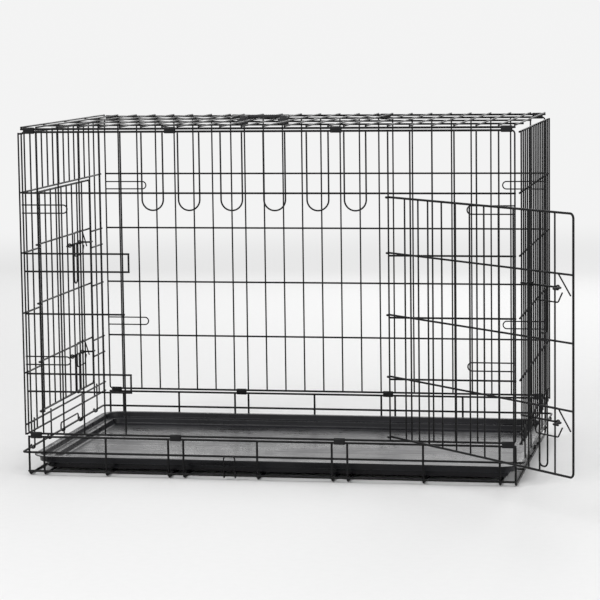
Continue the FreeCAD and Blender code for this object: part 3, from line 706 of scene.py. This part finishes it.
trayPlastic = plasticMaterial("trayBlackPlastic", trayLook)
gripPlastic = plasticMaterial("gripBlackPlastic", gripLook)

# tray: rim, upper wall, step and lower wall round a flat floor
pan = dict(
    halfX=457.0, halfY=266.0, corner=40.0, leastCorner=8.0, turnSteps=13, rest=0.35,
    rim=9.0, rimSheet=2.2, height=25.0, wall=2.4, highDraft=1.0,
    stepDrop=10.5, stepIn=14.0, lowDraft=1.5, floor=2.6, floorRun=26.0,
    bends=(4.5, 1.6, 1.6, 1.9, 0.9, 0.9, 1.2, 1.6, 1.6, 4.5), bendSteps=5)


# the wall's section as inset and height, from the floor inside, over the rim, to the floor below
def traySection():
    under = floorCrossZ + cross / 2 + pan["rest"]
    inside, rimZ = under + pan["floor"], under + pan["height"]
    stepZ, ledge = rimZ - pan["stepDrop"], rimZ - pan["rimSheet"]
    high, low = pan["rim"], pan["rim"] + pan["stepIn"]
    innerHigh, innerLow = high + pan["wall"], low + pan["wall"]
    corners = [
        (innerLow + pan["floorRun"], inside), (innerLow + pan["lowDraft"], inside),
        (innerLow, stepZ), (innerHigh + pan["highDraft"], stepZ), (innerHigh, rimZ), (0, rimZ),
        (0, ledge), (high, ledge), (high + pan["highDraft"], stepZ - pan["wall"]),
        (low, stepZ - pan["wall"]), (low + pan["lowDraft"], under), (low + pan["floorRun"], under)]
    route = roundedRoute([(x, 0, z) for x, z in corners], pan["bends"], pan["bendSteps"])
    return route[:, :1], route[:, 2:]


# section carried round a rounded rectangle: q(j, a) = s(a) (h - inset(j) - c(j)) + c(j) (cos a, sin a)
def trayShape():
    inset, height = traySection()
    turn = np.linspace(0, math.pi / 2, pan["turnSteps"])
    a = np.concatenate([turn + n * math.pi / 2 for n in range(4)])
    signX = np.repeat([1, -1, -1, 1], len(turn))
    signY = np.repeat([1, 1, -1, -1], len(turn))
    curve = np.maximum(pan["corner"] - inset, pan["leastCorner"])
    return cappedGrid(np.stack([
        signX * (pan["halfX"] - inset - curve) + curve * np.cos(a),
        signY * (pan["halfY"] - inset - curve) + curve * np.sin(a),
        np.broadcast_to(height, (len(height), len(a)))], axis=2))


addPiece("tray", "tray", "tray", [trayShape()], trayPlastic)
print("tray made")

# carry handle: sleeves on the middle top wire, flat arms and a ribbed grip
handle = dict(
    gaps=(9, 11), reach=30.0, rise=8.6,
    sleeve=5.0, sleeveLength=20.0, boreEdge=0.3, edge=0.8, edgeRound=0.3, sleeveSteps=28,
    armWidth=12.0, armSheet=5.0, armFoot=3.4, armBend=5.0, armSteps=8, armSides=20, armPower=0.4,
    grip=3.5, gripRings=181, gripSides=18, rib=0.18, ribGap=4.0, ribClear=2.0, endDrop=0.9, endRun=1.2)
gripZ = topMidZ + handle["rise"]
sleeveX = [(columns[n] + columns[n + 1]) / 2 for n in handle["gaps"]]


# turned sleeve: section (x, r) carried round the wire, q(a, j) = (x(j), r(j) cos a, r(j) sin a)
def sleeveRing(x):
    half, far, near = handle["sleeveLength"] / 2, handle["sleeve"], cross / 2 + wire["gap"]
    bore, e = handle["boreEdge"], handle["edge"]
    nick = handle["edgeRound"] * e
    along, radius = mirrored([
        (bore - half, near), (-half, near + bore), (-half, far - e),
        (nick - half, far - nick), (e - half, far)]).T
    a = np.linspace(0, 2 * math.pi, handle["sleeveSteps"], endpoint=False)[:, None]
    return ringGrid(np.stack([
        x + along + 0 * a, radius * np.cos(a), topMidZ + radius * np.sin(a)], axis=2))


# flat arm: strip q(i, a) = p(i) + w c(a) x + t s(a) n(i), c and s being powers of cos and sin
def flatArm(x):
    corners = [(x, 0, topMidZ + handle["armFoot"]), (x, 0, gripZ), (x, handle["reach"], gripZ)]
    route = roundedRoute(corners, handle["armBend"], handle["armSteps"])
    across = np.array([1.0, 0, 0])
    normal = np.cross(across, tangents(route))[:, None]
    a = np.linspace(0, 2 * math.pi, handle["armSides"], endpoint=False)[None, :, None]
    c, s = (np.sign(f) * np.abs(f) ** handle["armPower"] for f in (np.cos(a), np.sin(a)))
    broad, thick = handle["armWidth"] / 2, handle["armSheet"] / 2
    return cappedGrid(route[:, None] + broad * c * across + thick * s * normal)


# ribbed grip: q(x, a) with r(x) = g - k (1 + cos(2 pi x / d)) between the arms, ends rounded off
def ribbedGrip():
    over = handle["armWidth"] / 2
    start, end = sleeveX[0] - over, sleeveX[1] + over
    x = np.linspace(start, end, handle["gripRings"])[:, None]
    close = np.minimum(x - start, end - x)
    ribbed = close > handle["armWidth"] + handle["ribClear"]
    ribs = handle["rib"] * (1 + np.cos(2 * math.pi * (x - start) / handle["ribGap"]))
    drop = handle["endDrop"] * np.clip(1 - close / handle["endRun"], 0, 1) ** 2
    radius = handle["grip"] - ribs * ribbed - drop
    a = np.linspace(0, 2 * math.pi, handle["gripSides"], endpoint=False)[None]
    return cappedGrid(np.stack([
        x + 0 * a, handle["reach"] + radius * np.cos(a), gripZ - radius * np.sin(a)], axis=2))


addPiece("carryHandle", "carry_handle", "carry_handle",
         [sleeveRing(x) for x in sleeveX] + [flatArm(x) for x in sleeveX] + [ribbedGrip()], gripPlastic)
print("handle made")

# plain studio in metres: pale floor that fades into the background, soft lamps
studio = dict(
    floor=(0.79, 0.79, 0.79, 1), floorLight=(0.82, 0.82, 0.82, 1), speckle=(60.0, 3.0, 0.5),
    rough=0.7, gloss=0.2, half=40.0, drop=0.0005, fade=(1.6, 5.5),
    sky=(0.90, 0.90, 0.90, 1), skyStrength=1.0, fill=0.45, fillColour=(1, 1, 1, 1))
lamps = dict(
    keyLamp=dict(place=(-2.2, -3.0, 3.4), aim=(0, 0, 0.3), size=2.0, power=130),
    fillLamp=dict(place=(3.4, -2.2, 2.0), aim=(0, 0, 0.3), size=2.0, power=55),
    rimLamp=dict(place=(0.5, 3.4, 2.6), aim=(0, 0, 0.4), size=1.6, power=46))
sheenPanel = dict(place=(-0.7, 3.4, 1.2), aim=(-0.7, 0, 1.2), size=2.6, power=10)
sheenHeight = 1.1


# rays that meet the pale background as it is seen: from the camera, by a gloss or through glass
def seenRays(flow):
    camera, glossy, through = (
        flow.node("ShaderNodeLightPath", output="Is %s Ray" % kind)
        for kind in ("Camera", "Glossy", "Transmission"))
    return camera + glossy + through


def floorPaint():
    material, flow = newMaterial("studioFloorPaint")
    place = objectPlace(flow)
    tint = mixColour(flow, noise(flow, place, studio["speckle"]), studio["floor"], studio["floorLight"])
    paint = flow.node("ShaderNodeBsdfPrincipled", {}, {
        "Base Color": tint, "Roughness": studio["rough"], "Specular IOR Level": studio["gloss"]})
    away = flow.node("ShaderNodeVectorMath", {"operation": "LENGTH"}, {0: place}, "Value")
    fade = between(flow, away, studio["fade"], "SMOOTHSTEP")
    haze = flow.node("ShaderNodeEmission", {}, {
        "Color": studio["sky"], "Strength": studio["skyStrength"]})
    shader = flow.node("ShaderNodeMixShader", {}, {0: fade * seenRays(flow), 1: paint, 2: haze})
    flow.node("ShaderNodeOutputMaterial", {}, {"Surface": shader})
    return material


half, drop = studio["half"], -studio["drop"]
floorMesh = bpy.data.meshes.new("studioFloor")
floorMesh.from_pydata(
    [(-half, -half, drop), (half, -half, drop), (half, half, drop), (-half, half, drop)],
    [], [(0, 1, 2, 3)])
floorMesh.materials.append(floorPaint())
floor = bpy.data.objects.new("studioFloor", floorMesh)
bpy.context.scene.collection.objects.link(floor)

world = bpy.data.worlds.new("studioWorld")
world.use_nodes = True
world.node_tree.nodes.clear()
flow = Flow(world.node_tree)
lit = flow.node("ShaderNodeBackground", {}, {
    "Color": studio["fillColour"], "Strength": studio["fill"]})
shown = flow.node("ShaderNodeBackground", {}, {
    "Color": studio["sky"], "Strength": studio["skyStrength"]})
blend = flow.node("ShaderNodeMixShader", {}, {0: seenRays(flow), 1: lit, 2: shown})
flow.node("ShaderNodeOutputWorld", {}, {"Surface": blend})
bpy.context.scene.world = world


def softLamp(name, place, aim, size, power):
    data = bpy.data.lights.new(name, "AREA")
    data.size, data.energy = size, power
    lamp = bpy.data.objects.new(name, data)
    bpy.context.scene.collection.objects.link(lamp)
    lamp.location = place
    toward = Vector(aim) - Vector(place)
    lamp.rotation_euler = toward.to_track_quat("-Z", "Y").to_euler()
    return lamp


for name, lamp in lamps.items():
    softLamp(name, **lamp)
# low panel behind the cage, for the sheen on the tray floor
sheen = softLamp("sheenLamp", **sheenPanel)
sheen.data.shape, sheen.data.size_y, sheen.visible_camera = "RECTANGLE", sheenHeight, False

# camera at the photo's viewing angle; angles in degrees, lens and sensor in millimetres
view = dict(place=(0.90553, -4.52758, 0.83089), yaw=-11.2106, pitch=-6.5765, roll=-0.7569,
            lens=145.2, sensor=36.0, farEnd=200.0)
yaw, tilt, roll = (math.radians(view[key]) for key in ("yaw", "pitch", "roll"))
ahead = np.array([math.sin(yaw) * math.cos(tilt), math.cos(yaw) * math.cos(tilt), math.sin(tilt)])
level = np.array([math.cos(yaw), -math.sin(yaw), 0.0])
above = np.cross(level, ahead)
stance = np.eye(4)
stance[:3, 0] = math.cos(roll) * level + math.sin(roll) * above
stance[:3, 1] = math.cos(roll) * above - math.sin(roll) * level
stance[:3, 2] = -ahead
stance[:3, 3] = view["place"]
lensData = bpy.data.cameras.new("photoCamera")
lensData.lens, lensData.sensor_width, lensData.sensor_fit = view["lens"], view["sensor"], "HORIZONTAL"
lensData.clip_end = view["farEnd"]
camera = bpy.data.objects.new("photoCamera", lensData)
bpy.context.scene.collection.objects.link(camera)
camera.matrix_world = Matrix(stance.tolist())
bpy.context.scene.camera = camera
bpy.context.scene.view_settings.view_transform = "Standard"
print("studio ready")
